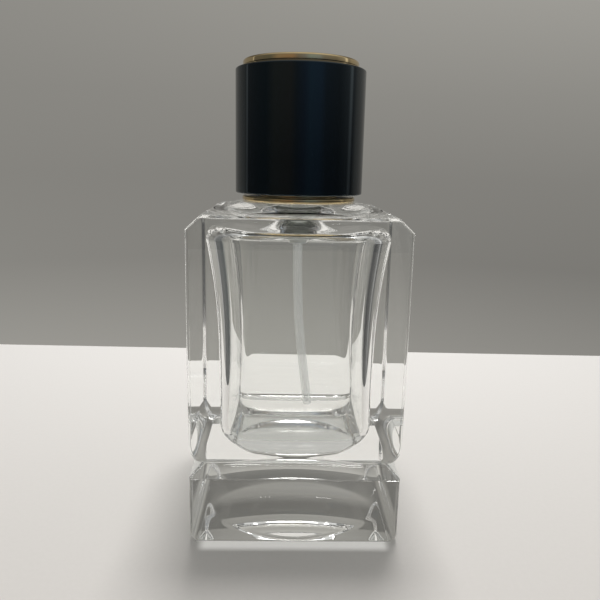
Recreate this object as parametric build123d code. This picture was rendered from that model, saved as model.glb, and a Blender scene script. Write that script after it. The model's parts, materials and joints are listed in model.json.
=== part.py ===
from build123d import *
import math
import os

# A square glass aftershave bottle with a crimped spray pump and a round cap.
# Millimetres, +Z up. The origin is the centre of the base, the spray leaves
# towards -Y, and every piece is drawn in place with the cap on and the pump up.

# ---------------------------------------------------------------- driving sizes

# Glass block: a straight upper block over a foot, with a V-groove between them.
GLASS_WIDTH = 47.5
GLASS_DEPTH = 47.5
DECK_HEIGHT = 74.3
GLASS_CORNER = 1.0
GLASS_EDGE = 0.5

FOOT_FACE_HEIGHT = 15.8
FOOT_SIDE_EDGE = 2.0
FOOT_FRONT_EDGE = 0.6
WAIST_HEIGHT = 18.7
WAIST_INSET = 2.9
WAIST_FLAT = 0.1
HEEL_WIDTH = 2.6
HEEL_HEIGHT = 5.6

CLIP_WIDTH = 3.2
CLIP_HEIGHT = 3.0
DECK_EDGE = 0.6

PUNT_RADIUS = 21.3
PUNT_DEPTH = 1.3

# Round shoulder and crimp neck.
SHOULDER_RADIUS = 20.2
SHOULDER_TOP = 76.2
SHOULDER_SLOPE = 0.12
SEAT_RADIUS = 13.6
NECK_RADIUS = 6.5
BEAD_RADIUS = 7.35
BEAD_BOTTOM = 80.9
BEAD_SLOPE = 0.8
NECK_TOP = 84.4
BORE_RADIUS = 4.5

# Hollow for the liquid, wider at the top than at the bottom and rounded like a blown vessel.
HOLLOW_DEPTH = 29.0
HOLLOW_BOTTOM = 19.4
HOLLOW_ROOF = 70.2
HOLLOW_ROOF_RISE = 0.7
HOLLOW_ROOF_FLAT = 9.0
HOLLOW_ROOF_END = 17.0
HOLLOW_FLOOR_SAG = 0.9
HOLLOW_FOOT_HALF_WIDTH = 17.45
HOLLOW_TOP_HALF_WIDTH = 21.7
HOLLOW_FOOT_CORNER = 6.5
HOLLOW_EDGE = 6.0
HOLLOW_TOP_EDGE = 2.4
FUNNEL_RADIUS = 10.5
FUNNEL_RISE = 3.9

# Pump.
STROKE = 3.6
PISTON_SLIP = 0.4
PUMP_BORE = 3.3
PUMP_OUTER_RADIUS = 4.1
PUMP_FLOOR = 74.4
PUMP_CONE_TOP = 73.2
TAIL_RADIUS = 1.95
TAIL_BOTTOM = 67.5
TAIL_TOP = 70.6
TUBE_SOCKET_DEPTH = 3.5
PUMP_FLANGE_RADIUS = 7.1
PUMP_FLANGE_THICKNESS = 0.9
GASKET_RADIUS = 7.25
GASKET_THICKNESS = 1.0
BUSHING_FLANGE_RADIUS = 4.6
BUSHING_FLANGE_THICKNESS = 0.5
BUSHING_LENGTH = 2.3
BUSHING_POCKET_WALL = 0.4
BUSHING_POCKET_DEPTH = 1.1

BALL_RADIUS = 1.0
BALL_LIFT = 0.5
BALL_CHAMBER_RADIUS = 1.3
INLET_RADIUS = 0.6
INLET_LENGTH = 0.5
CAGE_RADIUS = 0.8

STEM_RADIUS = 1.6
STEM_SHOULDER_RADIUS = 2.0
STEM_FOOT_RADIUS = 2.6
STEM_FOOT_THICKNESS = 0.55
STEM_BORE = 0.55
STEM_PORT_RADIUS = 0.4
STEM_TIP_CHAMFER = 0.3
PISTON_HEIGHT = 3.05
PISTON_LIP_HEIGHT = 0.5
PISTON_LIP_THICKNESS = 0.5
PISTON_FLANK = 0.6
PISTON_RIM_RADIUS = 2.33
SPRING_WIRE = 0.4
SPRING_RADIUS = 2.2
SPRING_TURNS = 4.5

TUBE_RADIUS = 1.1
TUBE_BORE = 0.7
TUBE_END_HEIGHT = 25.5
TUBE_LEAN_X = 3.2
TUBE_LEAN_Y = 1.2

# Clearances, and how far one body runs into the next before they are joined.
RUNNING_GAP = 0.03
ASSEMBLY_GAP = 0.02
OVERLAP = 1.0

# Ferrule and collar.
FERRULE_RADIUS = 7.75
FERRULE_WALL = 0.35
FERRULE_CRIMP_BOTTOM = 79.9
FERRULE_TOP_THICKNESS = 0.4
FERRULE_STEM_HOLE = 2.5
FERRULE_ROUND = 0.4
FERRULE_CRIMP_CLEARANCE = 0.1
FERRULE_CRIMP_RISE = 0.4
COLLAR_INSERT_RADIUS = 8.95
COLLAR_INSERT_TOP = 88.6
COLLAR_INSERT_SLOT = 1.2
COLLAR_INSERT_BAND = 4.0
COLLAR_RADIUS = 9.4
COLLAR_TOP = 91.2
COLLAR_LIP_RADIUS = 7.3
COLLAR_LIP_THICKNESS = 0.5
COLLAR_FLANGE_RADIUS = 13.4
COLLAR_FLANGE_THICKNESS = 1.25
COLLAR_UPPER_ROUND = 0.5
COLLAR_LOWER_ROUND = 0.4
COLLAR_TOP_ROUND = 0.35

# Actuator.
ACTUATOR_RADIUS = 6.9
ACTUATOR_SHELL_WALL = 0.35
ACTUATOR_BOTTOM = 91.6
ACTUATOR_TOP = 101.4
ACTUATOR_ROUND = 0.9
ACTUATOR_DISH = 0.5
ACTUATOR_DISH_MARGIN = 0.9
BUTTON_WALL = 1.0
BUTTON_RECESS = 0.4
BUTTON_ROUND = 0.7
HUB_RADIUS = 3.1
PRESS_CLEARANCE = 0.4
STEM_TOP = 96.4
STEM_SOCKET_OVERHANG = 0.8
NOZZLE_HEIGHT = 97.4
NOZZLE_RADIUS = 1.9
NOZZLE_LENGTH = 2.6
NOZZLE_INSET = 0.25
NOZZLE_WINDOW_GAP = 0.15
NOZZLE_DIMPLE_RADIUS = 1.05
NOZZLE_DIMPLE_DEPTH = 0.3
SWIRL_RADIUS = 1.1
SWIRL_DEPTH = 1.6
SPRAY_HOLE = 0.2

# Cap.
CAP_RADIUS = 15.0
CAP_WALL = 1.6
CAP_BOTTOM = 77.95
CAP_TOP = 106.3
CAP_ROOF_THICKNESS = 2.6
CAP_SLOPE_WIDTH = 1.7
CAP_SLOPE_HEIGHT = 0.7
CAP_EDGE_ROUND = 0.35
CAP_LIP_ROUND = 0.4
RING_RADIUS = 13.3
RING_BORE = 10.9
RING_TOP = 107.6
RING_SEAT_DEPTH = 1.2
RING_STEP = 0.45
RING_ROUND = 0.5
DISC_TOP = 107.0
DISC_ROUND = 0.2
LINER_RECESS = 0.5
LINER_WALL = 0.9
LINER_LENGTH = 10.5

# ---------------------------------------------------------------- worked-out sizes

GASKET_TOP = NECK_TOP + GASKET_THICKNESS
FLANGE_TOP = GASKET_TOP + PUMP_FLANGE_THICKNESS
BUSHING_TOP = FLANGE_TOP + BUSHING_FLANGE_THICKNESS
BUSHING_BOTTOM = FLANGE_TOP - BUSHING_LENGTH
PISTON_TOP = BUSHING_BOTTOM - ASSEMBLY_GAP
PISTON_BOTTOM = PISTON_TOP - PISTON_HEIGHT
STEM_FOOT_TOP = PISTON_BOTTOM - ASSEMBLY_GAP
STEM_FOOT_BOTTOM = STEM_FOOT_TOP - STEM_FOOT_THICKNESS
INLET_BOTTOM = TAIL_BOTTOM + TUBE_SOCKET_DEPTH
SEAT_BOTTOM = INLET_BOTTOM + INLET_LENGTH
SEAT_TOP = SEAT_BOTTOM + BALL_CHAMBER_RADIUS - INLET_RADIUS
BALL_CENTRE = SEAT_BOTTOM - INLET_RADIUS + math.sqrt(2) * BALL_RADIUS + ASSEMBLY_GAP
CHAMBER_TOP = BALL_CENTRE + BALL_RADIUS + BALL_LIFT + RUNNING_GAP
FERRULE_CROWN_TOP = BUSHING_TOP + FERRULE_TOP_THICKNESS
HUB_BOTTOM = FERRULE_CROWN_TOP + STROKE + PRESS_CLEARANCE
COLLAR_FLANGE_TOP = SHOULDER_TOP + COLLAR_FLANGE_THICKNESS
RING_SEAT = CAP_TOP - RING_SEAT_DEPTH
GASKET_POCKET_RADIUS = PUMP_BORE - ASSEMBLY_GAP - BUSHING_POCKET_WALL
GASKET_POCKET_FLOOR = BUSHING_TOP - BUSHING_POCKET_DEPTH


# ---------------------------------------------------------------- building helpers

def turned(*outline):
    """A solid of revolution about Z from a closed outline of (radius, height) corners."""
    face = make_face(Polyline(*outline, close=True))
    return revolve(Plane.XZ * face, Axis.Z)


def tube(outer, inner, bottom, top):
    """A plain ring or tube standing between two heights."""
    return turned((inner, bottom), (outer, bottom), (outer, top), (inner, top))


def rod(radius, bottom, top):
    """A plain round rod standing between two heights."""
    return turned((0, bottom), (radius, bottom), (radius, top), (0, top))


def edges_at_height(solid, height):
    """The edges of a solid that lie level at one height."""
    tolerance = 0.001
    return solid.edges().filter_by_position(Axis.Z, height - tolerance, height + tolerance)


def outermost(edges):
    """The longest of a group of level edges, which is the outer rim on a round piece."""
    return edges.sort_by(SortBy.LENGTH)[-1]


def drilling(radius, front, back):
    """A round cutter along the nozzle's axis, between two distances from the bottle's axis."""
    return Pos(0, (front + back) / 2, NOZZLE_HEIGHT) * Rot(90, 0, 0) * Cylinder(radius, back - front)


# ---------------------------------------------------------------- glass

def block_profile(half_width, foot_edge, clip_width, clip_height):
    """The elevation of the glass block: foot, V-groove, curved heel, wall and clipped deck."""
    foot_start = (half_width - foot_edge, 0)
    foot_end = (half_width, foot_edge)
    foot_top = (half_width, FOOT_FACE_HEIGHT)
    heel_start = (half_width - HEEL_WIDTH, WAIST_HEIGHT)
    heel_centre = (half_width - HEEL_WIDTH, WAIST_HEIGHT + HEEL_HEIGHT)
    heel_end = (half_width, WAIST_HEIGHT + HEEL_HEIGHT)
    clip_start = (half_width, DECK_HEIGHT - clip_height)
    clip_end = (half_width - clip_width, DECK_HEIGHT)
    groove = [
        foot_end,
        foot_top,
        (half_width - WAIST_INSET, WAIST_HEIGHT - WAIST_FLAT),
        (half_width - WAIST_INSET, WAIST_HEIGHT),
        heel_start,
    ]
    outline = [
        Line((0, 0), foot_start),
        RadiusArc(foot_start, foot_end, -foot_edge),
        Polyline(*groove),
        EllipticalCenterArc(heel_centre, HEEL_WIDTH, HEEL_HEIGHT, start_angle=270, arc_size=90),
        Polyline(heel_end, clip_start, clip_end, (0, DECK_HEIGHT), (0, 0)),
    ]
    half = make_face(Curve() + outline)
    sharp = [foot_top, clip_start, clip_end]
    half = fillet([half.vertices().sort_by_distance((*corner, 0))[0] for corner in sharp], GLASS_EDGE)
    return half + mirror(half, about=Plane.YZ)


def glass_block():
    """The outside of the glass block, as three extrusions in common."""
    front = block_profile(GLASS_WIDTH / 2, FOOT_SIDE_EDGE, CLIP_WIDTH, CLIP_HEIGHT)
    side = block_profile(GLASS_DEPTH / 2, FOOT_FRONT_EDGE, DECK_EDGE, DECK_EDGE)
    plan = RectangleRounded(GLASS_WIDTH, GLASS_DEPTH, GLASS_CORNER)
    across = extrude(Plane.XZ * front, GLASS_DEPTH, both=True)
    along = extrude(Plane.YZ * side, GLASS_WIDTH, both=True)
    return across & along & extrude(plan, DECK_HEIGHT)


def shoulder_and_neck():
    """The shallow round shoulder, the seat for the collar and the crimp neck with its bead."""
    shoulder = Spline(
        (SHOULDER_RADIUS, DECK_HEIGHT),
        (SEAT_RADIUS, SHOULDER_TOP),
        tangents=[(-1, SHOULDER_SLOPE), (-1, SHOULDER_SLOPE)],
    )
    outline = Polyline(
        (SEAT_RADIUS, SHOULDER_TOP),
        (NECK_RADIUS, SHOULDER_TOP),
        (NECK_RADIUS, BEAD_BOTTOM),
        (BEAD_RADIUS, BEAD_BOTTOM + BEAD_SLOPE),
        (BEAD_RADIUS, NECK_TOP),
        (0, NECK_TOP),
        (0, DECK_HEIGHT - OVERLAP),
        (SHOULDER_RADIUS, DECK_HEIGHT - OVERLAP),
        (SHOULDER_RADIUS, DECK_HEIGHT),
    )
    return revolve(Plane.XZ * make_face(Curve() + [shoulder, outline]), Axis.Z)


def hollow_profile():
    """The front elevation of the hollow: sagging floor, flared sides and a roof lowest round the neck."""
    foot, top = HOLLOW_FOOT_HALF_WIDTH, HOLLOW_TOP_HALF_WIDTH
    roof_end = HOLLOW_ROOF + HOLLOW_ROOF_RISE
    third = (roof_end - HOLLOW_BOTTOM) / 3
    flare = Bezier(
        (foot, HOLLOW_BOTTOM),
        (foot, HOLLOW_BOTTOM + third),
        (foot, HOLLOW_BOTTOM + 2 * third),
        (top, roof_end),
    )
    roof_slope = Spline(
        (HOLLOW_ROOF_END, roof_end),
        (HOLLOW_ROOF_FLAT, HOLLOW_ROOF),
        tangents=[(-1, 0), (-1, 0)],
    )
    lowest = HOLLOW_BOTTOM - HOLLOW_FLOOR_SAG
    floor = ThreePointArc((-foot, HOLLOW_BOTTOM), (0, lowest), (foot, HOLLOW_BOTTOM))
    right = [flare, Line((top, roof_end), (HOLLOW_ROOF_END, roof_end)), roof_slope]
    left = [mirror(edge, about=Plane.YZ) for edge in right]
    flat = Line((HOLLOW_ROOF_FLAT, HOLLOW_ROOF), (-HOLLOW_ROOF_FLAT, HOLLOW_ROOF))
    profile = make_face(Curve() + [floor, *right, flat, *left])
    return fillet(profile.vertices().group_by(Axis.Y)[0], HOLLOW_FOOT_CORNER)


def on_roof_rim(point):
    """Whether a point lies on the outline of the hollow's roof."""
    at_side = abs(point.X) > HOLLOW_TOP_HALF_WIDTH - OVERLAP
    at_front_or_back = abs(point.Y) > (HOLLOW_DEPTH - HOLLOW_EDGE) / 2
    return point.Z > HOLLOW_ROOF - OVERLAP and (at_side or at_front_or_back)


def funnel():
    """The way from the hollow's roof up into the bore of the neck."""
    mouth_top = HOLLOW_ROOF + FUNNEL_RISE
    side = Spline(
        (FUNNEL_RADIUS, HOLLOW_ROOF),
        (BORE_RADIUS, mouth_top),
        tangents=[(-1, 0), (0, 1)],
    )
    rest = Polyline(
        (BORE_RADIUS, mouth_top),
        (BORE_RADIUS, NECK_TOP),
        (0, NECK_TOP),
        (0, HOLLOW_ROOF - OVERLAP),
        (FUNNEL_RADIUS, HOLLOW_ROOF - OVERLAP),
        (FUNNEL_RADIUS, HOLLOW_ROOF),
    )
    return revolve(Plane.XZ * make_face(Curve() + [side, rest]), Axis.Z)


def hollow():
    """The space for the liquid, with well rounded upright and lower edges, and the funnel above it."""
    body = extrude(Plane.XZ * hollow_profile(), HOLLOW_DEPTH / 2, both=True)
    ends = body.faces().filter_by(Axis.Y)
    below_roof = [edge for edge in ends.edges() if edge.center().Z < HOLLOW_ROOF - OVERLAP]
    body = fillet(below_roof, HOLLOW_EDGE)
    body = fillet([edge for edge in body.edges() if on_roof_rim(edge.center())], HOLLOW_TOP_EDGE)
    return body + funnel()


def punt():
    """The shallow spherical recess under the foot."""
    sphere_radius = (PUNT_RADIUS**2 + PUNT_DEPTH**2) / (2 * PUNT_DEPTH)
    return Pos(0, 0, PUNT_DEPTH - sphere_radius) * Sphere(sphere_radius)


def glass_bottle():
    """The glass: one moulding with the foot, the block, the shoulder and the neck."""
    return glass_block() + shoulder_and_neck() - hollow() - punt()


# ---------------------------------------------------------------- pump

def neck_gasket():
    """The washer between the glass lip and the pump flange."""
    return tube(GASKET_RADIUS, BORE_RADIUS, NECK_TOP, GASKET_TOP)


def pump_housing():
    """The pump body: flange, barrel, ball seat and the socket for the suction tube."""
    return turned(
        (TUBE_RADIUS + ASSEMBLY_GAP, TAIL_BOTTOM),
        (TAIL_RADIUS, TAIL_BOTTOM),
        (TAIL_RADIUS, TAIL_TOP),
        (PUMP_OUTER_RADIUS, PUMP_CONE_TOP),
        (PUMP_OUTER_RADIUS, GASKET_TOP),
        (PUMP_FLANGE_RADIUS, GASKET_TOP),
        (PUMP_FLANGE_RADIUS, FLANGE_TOP),
        (PUMP_BORE, FLANGE_TOP),
        (PUMP_BORE, PUMP_FLOOR),
        (CAGE_RADIUS, PUMP_FLOOR),
        (CAGE_RADIUS, CHAMBER_TOP),
        (BALL_CHAMBER_RADIUS, CHAMBER_TOP),
        (BALL_CHAMBER_RADIUS, SEAT_TOP),
        (INLET_RADIUS, SEAT_BOTTOM),
        (INLET_RADIUS, INLET_BOTTOM),
        (TUBE_RADIUS + ASSEMBLY_GAP, INLET_BOTTOM),
    )


def pump_bushing():
    """The plug in the housing's mouth that guides the stem and holds the stem gasket."""
    body_radius = PUMP_BORE - ASSEMBLY_GAP
    stem_hole = STEM_SHOULDER_RADIUS + 2 * RUNNING_GAP
    return turned(
        (stem_hole, BUSHING_BOTTOM),
        (body_radius, BUSHING_BOTTOM),
        (body_radius, FLANGE_TOP),
        (BUSHING_FLANGE_RADIUS, FLANGE_TOP),
        (BUSHING_FLANGE_RADIUS, BUSHING_TOP),
        (GASKET_POCKET_RADIUS, BUSHING_TOP),
        (GASKET_POCKET_RADIUS, GASKET_POCKET_FLOOR),
        (stem_hole, GASKET_POCKET_FLOOR),
    )


def stem_gasket():
    """The rubber ring that wipes the stem, in the bushing's pocket."""
    return tube(GASKET_POCKET_RADIUS, STEM_SHOULDER_RADIUS + RUNNING_GAP, GASKET_POCKET_FLOOR, BUSHING_TOP)


def crimp_ferrule():
    """The drawn cup that clamps the pump to the glass, rolled in under the bead."""
    wall_inner = FERRULE_RADIUS - FERRULE_WALL
    rounded_radius = FERRULE_RADIUS - FERRULE_ROUND
    crimp_inner = NECK_RADIUS + FERRULE_CRIMP_CLEARANCE
    crimp_lip = FERRULE_CRIMP_BOTTOM + FERRULE_CRIMP_RISE
    roll_top = crimp_lip + 2 * FERRULE_WALL
    step_radius = BUSHING_FLANGE_RADIUS + ASSEMBLY_GAP
    rim_top = FLANGE_TOP + FERRULE_TOP_THICKNESS
    return turned(
        (crimp_inner, crimp_lip),
        (crimp_inner + FERRULE_CRIMP_CLEARANCE, FERRULE_CRIMP_BOTTOM),
        (rounded_radius, crimp_lip),
        (FERRULE_RADIUS, roll_top),
        (FERRULE_RADIUS, rim_top - FERRULE_ROUND),
        (rounded_radius, rim_top),
        (step_radius + FERRULE_WALL, rim_top),
        (step_radius + FERRULE_WALL, FERRULE_CROWN_TOP),
        (FERRULE_STEM_HOLE, FERRULE_CROWN_TOP),
        (FERRULE_STEM_HOLE, BUSHING_TOP),
        (step_radius, BUSHING_TOP),
        (step_radius, FLANGE_TOP),
        (wall_inner, FLANGE_TOP),
        (wall_inner, BEAD_BOTTOM + BEAD_SLOPE + ASSEMBLY_GAP),
    )


def pump_stem():
    """The hollow stem: foot, piston land, guided shoulder and the spigot for the button."""
    shoulder_bottom = PISTON_TOP + PISTON_SLIP + 2 * RUNNING_GAP
    stem = turned(
        (0, STEM_FOOT_BOTTOM),
        (STEM_FOOT_RADIUS, STEM_FOOT_BOTTOM),
        (STEM_FOOT_RADIUS, STEM_FOOT_TOP),
        (STEM_RADIUS, STEM_FOOT_TOP),
        (STEM_RADIUS, shoulder_bottom),
        (STEM_SHOULDER_RADIUS, shoulder_bottom),
        (STEM_SHOULDER_RADIUS, HUB_BOTTOM),
        (STEM_RADIUS, HUB_BOTTOM),
        (STEM_RADIUS, STEM_TOP - STEM_TIP_CHAMFER),
        (STEM_RADIUS - STEM_TIP_CHAMFER, STEM_TOP),
        (0, STEM_TOP),
    )
    port_height = STEM_FOOT_TOP + 1.5 * STEM_PORT_RADIUS
    channel = rod(STEM_BORE, port_height, STEM_TOP)
    side_port = Pos(0, 0, port_height) * Rot(0, 90, 0) * Cylinder(STEM_PORT_RADIUS, 3 * STEM_RADIUS)
    return stem - channel - side_port


def piston():
    """The sliding seal, thin-lipped at both ends, that rides on the stem."""
    lip = PUMP_BORE - RUNNING_GAP
    land = STEM_RADIUS + RUNNING_GAP
    waist = lip - PISTON_LIP_THICKNESS
    rim_inset = PISTON_LIP_HEIGHT / 5
    half_outline = [
        (land, 0),
        (PISTON_RIM_RADIUS, 0),
        (lip - 3 * rim_inset, rim_inset),
        (lip, PISTON_LIP_HEIGHT),
        (waist, PISTON_LIP_HEIGHT + PISTON_FLANK),
    ]
    lower_half = [(radius, PISTON_BOTTOM + rise) for radius, rise in half_outline]
    upper_half = [(radius, PISTON_TOP - rise) for radius, rise in reversed(half_outline)]
    return turned(*lower_half, *upper_half)


def return_spring():
    """The coil spring between the housing's floor and the stem's foot."""
    bottom = PUMP_FLOOR + SPRING_WIRE / 2 + ASSEMBLY_GAP
    top = STEM_FOOT_BOTTOM - SPRING_WIRE / 2 - ASSEMBLY_GAP
    pitch = (top - bottom) / SPRING_TURNS
    path = Pos(0, 0, bottom) * Helix(pitch, top - bottom, SPRING_RADIUS)
    section = Plane(origin=path @ 0, z_dir=path % 0) * Circle(SPRING_WIRE / 2)
    return sweep(section, path)


def check_ball():
    """The steel ball on the inlet seat."""
    return Pos(0, 0, BALL_CENTRE) * Sphere(BALL_RADIUS)


def dip_tube():
    """The suction tube, straight in its socket and then leaning off to one side."""
    middle_height = (TAIL_BOTTOM + TUBE_END_HEIGHT) / 2
    middle_lean = 0.22
    end_slope = 0.04
    path = Spline(
        (0, 0, TAIL_BOTTOM),
        (TUBE_LEAN_X * middle_lean, TUBE_LEAN_Y * middle_lean, middle_height),
        (TUBE_LEAN_X, TUBE_LEAN_Y, TUBE_END_HEIGHT),
        tangents=[(0, 0, -1), (TUBE_LEAN_X * end_slope, TUBE_LEAN_Y * end_slope, -1)],
    )
    ring = Circle(TUBE_RADIUS) - Circle(TUBE_BORE)
    leaning = sweep(Pos(0, 0, TAIL_BOTTOM) * ring, path)
    return leaning + tube(TUBE_RADIUS, TUBE_BORE, TAIL_BOTTOM, INLET_BOTTOM - ASSEMBLY_GAP)


# ---------------------------------------------------------------- collar

def collar_insert():
    """The plastic sleeve that grips the ferrule and carries the collar, slotted crosswise."""
    bottom = SHOULDER_TOP + 5 * ASSEMBLY_GAP
    sleeve = tube(COLLAR_INSERT_RADIUS, FERRULE_RADIUS + ASSEMBLY_GAP, bottom, COLLAR_INSERT_TOP)
    slot_height = COLLAR_INSERT_TOP - SHOULDER_TOP - COLLAR_INSERT_BAND
    slot = Box(4 * FERRULE_RADIUS, COLLAR_INSERT_SLOT, slot_height)
    slot = Pos(0, 0, SHOULDER_TOP + slot_height / 2) * slot
    return sleeve - slot - Rot(0, 0, 90) * slot


def collar():
    """The stepped metal collar: a flat flange on the glass and a sleeve round the pump."""
    bore = COLLAR_INSERT_RADIUS + ASSEMBLY_GAP
    lip_bottom = COLLAR_TOP - COLLAR_LIP_THICKNESS
    shape = turned(
        (bore, SHOULDER_TOP),
        (COLLAR_FLANGE_RADIUS, SHOULDER_TOP),
        (COLLAR_FLANGE_RADIUS, COLLAR_FLANGE_TOP),
        (COLLAR_RADIUS, COLLAR_FLANGE_TOP),
        (COLLAR_RADIUS, COLLAR_TOP),
        (COLLAR_LIP_RADIUS, COLLAR_TOP),
        (COLLAR_LIP_RADIUS, lip_bottom),
        (bore, lip_bottom),
    )
    shape = fillet(outermost(edges_at_height(shape, COLLAR_FLANGE_TOP)), COLLAR_UPPER_ROUND)
    shape = fillet(outermost(edges_at_height(shape, SHOULDER_TOP)), COLLAR_LOWER_ROUND)
    return fillet(outermost(edges_at_height(shape, COLLAR_TOP)), COLLAR_TOP_ROUND)


# ---------------------------------------------------------------- actuator

def button_dish(top):
    """The shallow finger dish in the top of the button."""
    rim = ACTUATOR_RADIUS - ACTUATOR_DISH_MARGIN
    sphere_radius = (rim**2 + ACTUATOR_DISH**2) / (2 * ACTUATOR_DISH)
    return Pos(0, 0, top - ACTUATOR_DISH + sphere_radius) * Sphere(sphere_radius)


def actuator_button():
    """The plastic button: skirt, hub on the stem, spray channel and nozzle seat."""
    radius = ACTUATOR_RADIUS - ACTUATOR_SHELL_WALL - ASSEMBLY_GAP
    top = ACTUATOR_TOP - ACTUATOR_SHELL_WALL - ASSEMBLY_GAP
    roof_underside = STEM_TOP - STEM_SOCKET_OVERHANG
    block = rod(radius, ACTUATOR_BOTTOM + BUTTON_RECESS, top)
    block = fillet(outermost(edges_at_height(block, top)), BUTTON_ROUND)
    skirt_space = tube(radius - BUTTON_WALL, HUB_RADIUS, ACTUATOR_BOTTOM, roof_underside)
    hub = rod(HUB_RADIUS, HUB_BOTTOM, roof_underside)
    stem_socket = rod(STEM_RADIUS + RUNNING_GAP, HUB_BOTTOM, STEM_TOP + RUNNING_GAP)
    channel = rod(STEM_BORE, STEM_TOP, NOZZLE_HEIGHT + STEM_BORE)
    button = block - skirt_space + hub - stem_socket - channel
    button -= drilling(STEM_BORE, -radius, 0)
    seat_back = NOZZLE_LENGTH - ACTUATOR_RADIUS
    button -= drilling(NOZZLE_RADIUS + ASSEMBLY_GAP, -ACTUATOR_RADIUS - OVERLAP, seat_back)
    return button - button_dish(top)


def actuator_shell():
    """The thin metal cup over the button, with a round window for the nozzle."""
    inner_top = ACTUATOR_TOP - ACTUATOR_SHELL_WALL
    outside = rod(ACTUATOR_RADIUS, ACTUATOR_BOTTOM, ACTUATOR_TOP)
    outside = fillet(outermost(edges_at_height(outside, ACTUATOR_TOP)), ACTUATOR_ROUND)
    inside = rod(ACTUATOR_RADIUS - ACTUATOR_SHELL_WALL, ACTUATOR_BOTTOM, inner_top)
    inside = fillet(outermost(edges_at_height(inside, inner_top)), ACTUATOR_ROUND - ACTUATOR_SHELL_WALL)
    window = drilling(NOZZLE_RADIUS + NOZZLE_WINDOW_GAP, -ACTUATOR_RADIUS - OVERLAP, -HUB_RADIUS)
    return outside - button_dish(ACTUATOR_TOP) - (inside - button_dish(inner_top)) - window


def nozzle_insert():
    """The swirl insert: a small stepped cup with the spray hole in its recessed face."""
    face = NOZZLE_INSET - ACTUATOR_RADIUS
    back = NOZZLE_LENGTH - ACTUATOR_RADIUS - ASSEMBLY_GAP
    insert = drilling(NOZZLE_RADIUS, face, back)
    insert -= drilling(NOZZLE_DIMPLE_RADIUS, face, face + NOZZLE_DIMPLE_DEPTH)
    insert -= drilling(SWIRL_RADIUS, back - SWIRL_DEPTH, back)
    return insert - drilling(SPRAY_HOLE, face, back)


# ---------------------------------------------------------------- cap

def cap_shell():
    """The gloss cap: a straight cup with a sloped top edge and a seat for the ring."""
    inner = CAP_RADIUS - CAP_WALL
    seat_radius = RING_RADIUS - RING_STEP
    roof_underside = CAP_TOP - CAP_ROOF_THICKNESS
    slope_bottom = CAP_TOP - CAP_SLOPE_HEIGHT
    shape = turned(
        (inner, CAP_BOTTOM),
        (CAP_RADIUS, CAP_BOTTOM),
        (CAP_RADIUS, slope_bottom),
        (CAP_RADIUS - CAP_SLOPE_WIDTH, CAP_TOP),
        (seat_radius, CAP_TOP),
        (seat_radius, RING_SEAT),
        (0, RING_SEAT),
        (0, roof_underside),
        (inner, roof_underside),
    )
    shape = fillet(outermost(edges_at_height(shape, slope_bottom)), CAP_EDGE_ROUND)
    return fillet(outermost(edges_at_height(shape, CAP_BOTTOM)), CAP_LIP_ROUND)


def cap_ring():
    """The gold ring: a rounded lip standing on the cap, with a spigot down in its seat."""
    spigot = RING_RADIUS - RING_STEP - ASSEMBLY_GAP
    shape = turned(
        (RING_BORE, RING_SEAT + ASSEMBLY_GAP),
        (spigot, RING_SEAT + ASSEMBLY_GAP),
        (spigot, CAP_TOP + ASSEMBLY_GAP),
        (RING_RADIUS, CAP_TOP + ASSEMBLY_GAP),
        (RING_RADIUS, RING_TOP),
        (RING_BORE, RING_TOP),
    )
    return fillet(edges_at_height(shape, RING_TOP), RING_ROUND)


def cap_disc():
    """The inlay disc in the middle of the ring, a little below the ring's lip."""
    disc = rod(RING_BORE - ASSEMBLY_GAP, RING_SEAT + ASSEMBLY_GAP, DISC_TOP)
    return fillet(edges_at_height(disc, DISC_TOP), DISC_ROUND)


def cap_liner():
    """The inner sleeve of the cap: an outer cup in the shell and a grip on the collar."""
    outer = CAP_RADIUS - CAP_WALL - ASSEMBLY_GAP
    bottom = CAP_BOTTOM + LINER_RECESS
    grip = COLLAR_RADIUS + 2 * RUNNING_GAP
    grip_top = bottom + LINER_LENGTH
    roof = CAP_TOP - CAP_ROOF_THICKNESS - ASSEMBLY_GAP
    return turned(
        (grip, bottom),
        (outer, bottom),
        (outer, roof),
        (0, roof),
        (0, roof - LINER_WALL),
        (grip + LINER_WALL, roof - LINER_WALL),
        (grip + LINER_WALL, grip_top),
        (grip, grip_top - LINER_WALL),
    )


# ---------------------------------------------------------------- output

PIECES = {
    "glass_bottle": glass_bottle,
    "neck_gasket": neck_gasket,
    "pump_housing": pump_housing,
    "pump_bushing": pump_bushing,
    "stem_gasket": stem_gasket,
    "crimp_ferrule": crimp_ferrule,
    "pump_stem": pump_stem,
    "piston": piston,
    "return_spring": return_spring,
    "check_ball": check_ball,
    "dip_tube": dip_tube,
    "collar_insert": collar_insert,
    "collar": collar,
    "actuator_button": actuator_button,
    "actuator_shell": actuator_shell,
    "nozzle_insert": nozzle_insert,
    "cap_shell": cap_shell,
    "cap_ring": cap_ring,
    "cap_disc": cap_disc,
    "cap_liner": cap_liner,
}

os.makedirs("parts", exist_ok=True)
for name, build_piece in PIECES.items():
    export_step(build_piece(), os.path.join("parts", name + ".step"))
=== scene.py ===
import json
import math

import bpy
import numpy as np
from mathutils import Matrix, Vector


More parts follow.
